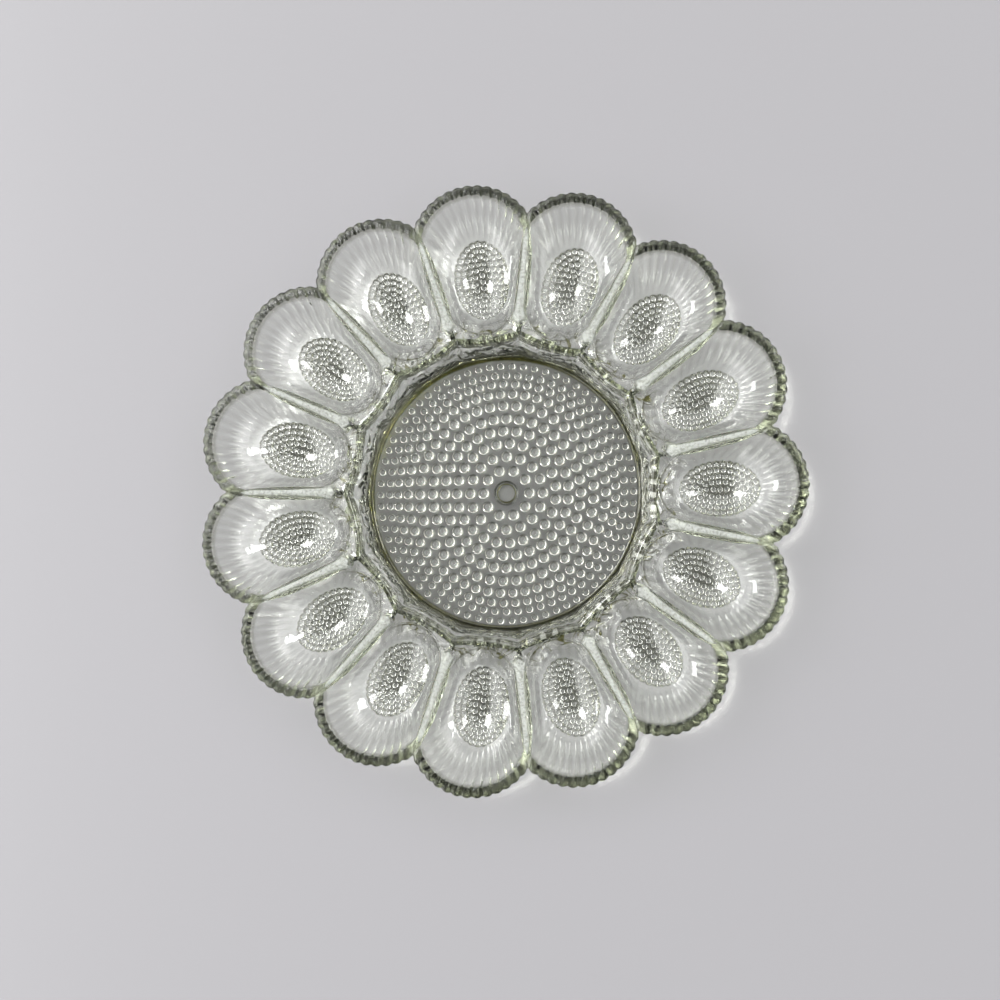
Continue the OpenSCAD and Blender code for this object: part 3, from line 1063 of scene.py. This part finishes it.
@dataclass(frozen=True)
class GlassFinish:
    """Pressed glass with a faint green body. It is clear unless its values say otherwise."""

    name: str = "pressed_glass"
    tint: Triple = (0.985, 0.99, 0.985)
    body: Triple = (0.72, 0.77, 0.57)
    density: float = 24.0
    ior: float = 1.51
    shade: Triple = (0.93, 0.935, 0.93)
    # Colour of dirt and of painted shade, mixed in by the skin's mask.
    dirt_and_shade: Triple = (0.075, 0.073, 0.006)
    # Painted shadow: the colour lamp light takes through a flank.
    ring: Triple = (0.12, 0.12, 0.115)
    clear: float = 1.0
    roughness: float = 0.0

    def material(self, skin: bpy.types.NodeTree) -> bpy.types.Material:
        """Makes the glass: a transmissive surface with dirt and painted shade in its colour, an absorbing body, and
        passage for lamp rays that is darker through the flanks, a painted shadow.

        Args:
            skin: the node group of the pressed skin.

        Returns:
            The new material.
        """
        mat = bpy.data.materials.new(self.name)
        mat.use_nodes = True
        mat.node_tree.nodes.clear()
        w = Wiring(mat.node_tree)
        look = w.node("Group", {"Clean Roughness": self.roughness}, node_tree=skin).outputs
        surface = {
            "Base Color": w.blend(look["Dirt and Painted Shade"], self.tint, self.dirt_and_shade),
            "Metallic": 0.0,
            "Roughness": look["Roughness"],
            "IOR": self.ior,
            "Normal": look["Normal"],
            "Transmission Weight": self.clear,
        }
        glass = w.node("BsdfPrincipled", surface).outputs["BSDF"]
        _, flank, _ = w.skin()
        # Lamp light passes with the shade colour, darkened towards ring at the flanks: a painted shadow on the table.
        passed = w.node("BsdfTransparent", {"Color": w.blend(flank, self.shade, self.ring)}).outputs["BSDF"]
        ray = w.node("LightPath", {}).outputs
        soft_light = w.math("MAXIMUM", ray["Is Shadow Ray"], ray["Is Diffuse Ray"])
        both = w.node("MixShader", {0: soft_light, 1: glass, 2: passed}).outputs["Shader"]
        body = w.node("VolumeAbsorption", {"Color": (*self.body, 1), "Density": self.density}).outputs["Volume"]
        w.node("OutputMaterial", {"Surface": both, "Volume": body})
        return mat


FINISHES = {
    Finish.CLEAR: GlassFinish(),
    Finish.FROSTED: GlassFinish(name="frosted_glass", clear=0.6, roughness=0.3, tint=(0.92, 0.95, 0.90)),
    # Near-black glass on the boss's steep rings: painted shade.
    Finish.STEEP: GlassFinish(
        name="painted_dark_glass", clear=0.1, roughness=0.2, tint=(0.02, 0.02, 0.018), dirt_and_shade=(0.01, 0.01, 0.008)
    ),
}


@dataclass
class Tray:
    """The whole tray: the egg wells round the centre dish, as one closed piece of glass."""

    well: Well = field(default_factory=Well)
    dish: Dish = field(default_factory=Dish)

    def build(self) -> bpy.types.Mesh:
        """Builds the mesh.

        Returns:
            The mesh, in metres, with the finish of each face.
        """
        shell = Shell()
        ridge = self.dish.ridge
        turns = [2 * ridge.half * k for k in range(ridge.spans)]
        ovals = np.stack([self.well.add(shell, turn) for turn in turns])
        self.well.add_studs(shell, ovals, turns)
        self.dish.add(shell)
        return shell.mesh("platter_glass")

    def piece(self) -> bpy.types.Object:
        """Makes the tray's object, dresses it and puts it into the scene.

        Returns:
            The object.
        """
        tray = bpy.data.objects.new("platter_glass", self.build())
        skin = PressedSkin().group()
        for finish in Finish:
            tray.data.materials.append(FINISHES[finish].material(skin))
        bpy.context.scene.collection.objects.link(tray)
        return tray


@dataclass(frozen=True)
class TableFinish:
    """Smooth pale paper, with a sheen."""

    name: str = "pale_table"
    colour: Triple = (0.46, 0.452, 0.47)
    roughness: float = 0.2
    ior: float = 2.4

    def material(self) -> bpy.types.Material:
        """Makes the table's material.

        Returns:
            The new material.
        """
        mat = bpy.data.materials.new(self.name)
        mat.use_nodes = True
        shader = mat.node_tree.nodes["Principled BSDF"]
        shader.inputs["Base Color"].default_value = (*self.colour, 1)
        shader.inputs["Roughness"].default_value = self.roughness
        shader.inputs["IOR"].default_value = self.ior
        return mat


@dataclass(frozen=True)
class Softbox:
    """A soft rectangular lamp that faces the tray. One for the tray alone leaves the table unlit, so that the
    table mirrors no lamp."""

    name: str
    place: Triple
    size: Span
    watts: float
    tray_only: bool = True

    def add(self, lit: bpy.types.Collection) -> None:
        """Adds the lamp.

        Args:
            lit: the collection that a lamp for the tray alone lights.
        """
        data = bpy.data.lights.new(self.name, "AREA")
        data.shape = "RECTANGLE"
        data.size, data.size_y = self.size
        data.energy = self.watts
        lamp = bpy.data.objects.new(self.name, data)
        lamp.location = self.place
        lamp.rotation_mode = "QUATERNION"
        lamp.rotation_quaternion = (-Vector(self.place)).to_track_quat("-Z", "Y")
        bpy.context.scene.collection.objects.link(lamp)
        if self.tray_only:
            lamp.light_linking.receiver_collection = lit


@dataclass(frozen=True)
class Room:
    """A dark room with bright panels on three sides. A direction's place on an axis goes from -1 to 1, and each
    panel rises from nothing to its strength over a span of it."""

    left: Triple = (-0.36, -0.54, 4.3)
    right: Triple = (0.36, 0.54, 3.3)
    back: Triple = (0.34, 0.52, 2.2)
    height_spans: tuple[Span, Span] = ((0.4, 0.65), (0.94, 0.86))
    glow_span: Span = (0.2, 1.0)
    glow: Span = (0.02, 0.06)

    def world(self) -> bpy.types.World:
        """Makes the surroundings: the sum of the panels, kept to their height, and a faint glow above.

        Returns:
            The new world.
        """
        world = bpy.data.worlds.new("room")
        world.use_nodes = True
        w = Wiring(world.node_tree)
        x, y, z = w.node("SeparateXYZ", {"Vector": w.node("TexCoord", {}).outputs["Generated"]}).outputs
        left, right, back = (
            w.spread(axis, low, high, 0.0, strength)
            for axis, (low, high, strength) in ((x, self.left), (x, self.right), (y, self.back))
        )
        panels = w.math("ADD", w.math("ADD", left, right), back)
        for span in self.height_spans:
            panels = w.math("MULTIPLY", panels, w.spread(z, *span, 0.0, 1.0))
        bright = w.math("ADD", panels, w.spread(z, *self.glow_span, *self.glow))
        world.node_tree.links.new(bright, world.node_tree.nodes["Background"].inputs["Color"])
        return world


@dataclass(frozen=True)
class Studio:
    """The table, the lamps, the surroundings and the camera. Lengths in metres, the lens in millimetres."""

    table_half: float = 4.0
    table_z: float = -0.0003
    camera_way: Triple = (0.15, -0.09, 0.985)
    distance: float = 1.25
    lens: float = 98.6
    aim: Triple = (-0.0013, -0.0041, 0.014)
    lamps: tuple[Softbox, ...] = (
        Softbox("left_softbox", (-0.45, 0.3, 0.9), (0.22, 0.2), 2.6),
        Softbox("right_softbox", (0.5, 0.3, 1.0), (0.22, 0.2), 2.0),
        Softbox("window", (-1.0, 0.1, 0.5), (0.3, 0.22), 3.0, tray_only=False),
    )

    def table(self) -> None:
        """Adds the table, a wide flat sheet."""
        mesh = bpy.data.meshes.new("table")
        half, z = self.table_half, self.table_z
        mesh.from_pydata([(-half, -half, z), (half, -half, z), (half, half, z), (-half, half, z)], [], [(0, 1, 2, 3)])
        table = bpy.data.objects.new("table", mesh)
        table.data.materials.append(TableFinish().material())
        bpy.context.scene.collection.objects.link(table)

    def camera(self) -> None:
        """Adds the camera at the photograph's viewing angle."""
        data = bpy.data.cameras.new("camera")
        data.lens = self.lens
        camera = bpy.data.objects.new("camera", data)
        back = Vector(self.camera_way).normalized()
        right = Vector((0, 1, 0)).cross(back).normalized()
        turn = Matrix((right, back.cross(right), back)).transposed().to_4x4()
        camera.matrix_world = Matrix.Translation(Vector(self.aim) + back * self.distance) @ turn
        bpy.context.scene.collection.objects.link(camera)
        bpy.context.scene.camera = camera

    def set_up(self, tray: bpy.types.Object) -> None:
        """Adds everything round the tray.

        Args:
            tray: the tray's object.
        """
        lit = bpy.data.collections.new("lit")
        lit.objects.link(tray)
        self.table()
        bpy.context.scene.world = Room().world()
        for lamp in self.lamps:
            lamp.add(lit)
        self.camera()
        log.info("table, surroundings, %d lamps and camera are set", len(self.lamps))


def main() -> None:
    """Builds the tray and the studio, and reports each piece."""
    logging.basicConfig(level=logging.INFO, format="%(name)s: %(message)s")
    bpy.context.scene.view_settings.view_transform = "Standard"
    tray = Tray().piece()
    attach(tray, "root")
    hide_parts("platter")
    Studio().set_up(tray)


if __name__ == "__main__":
    main()
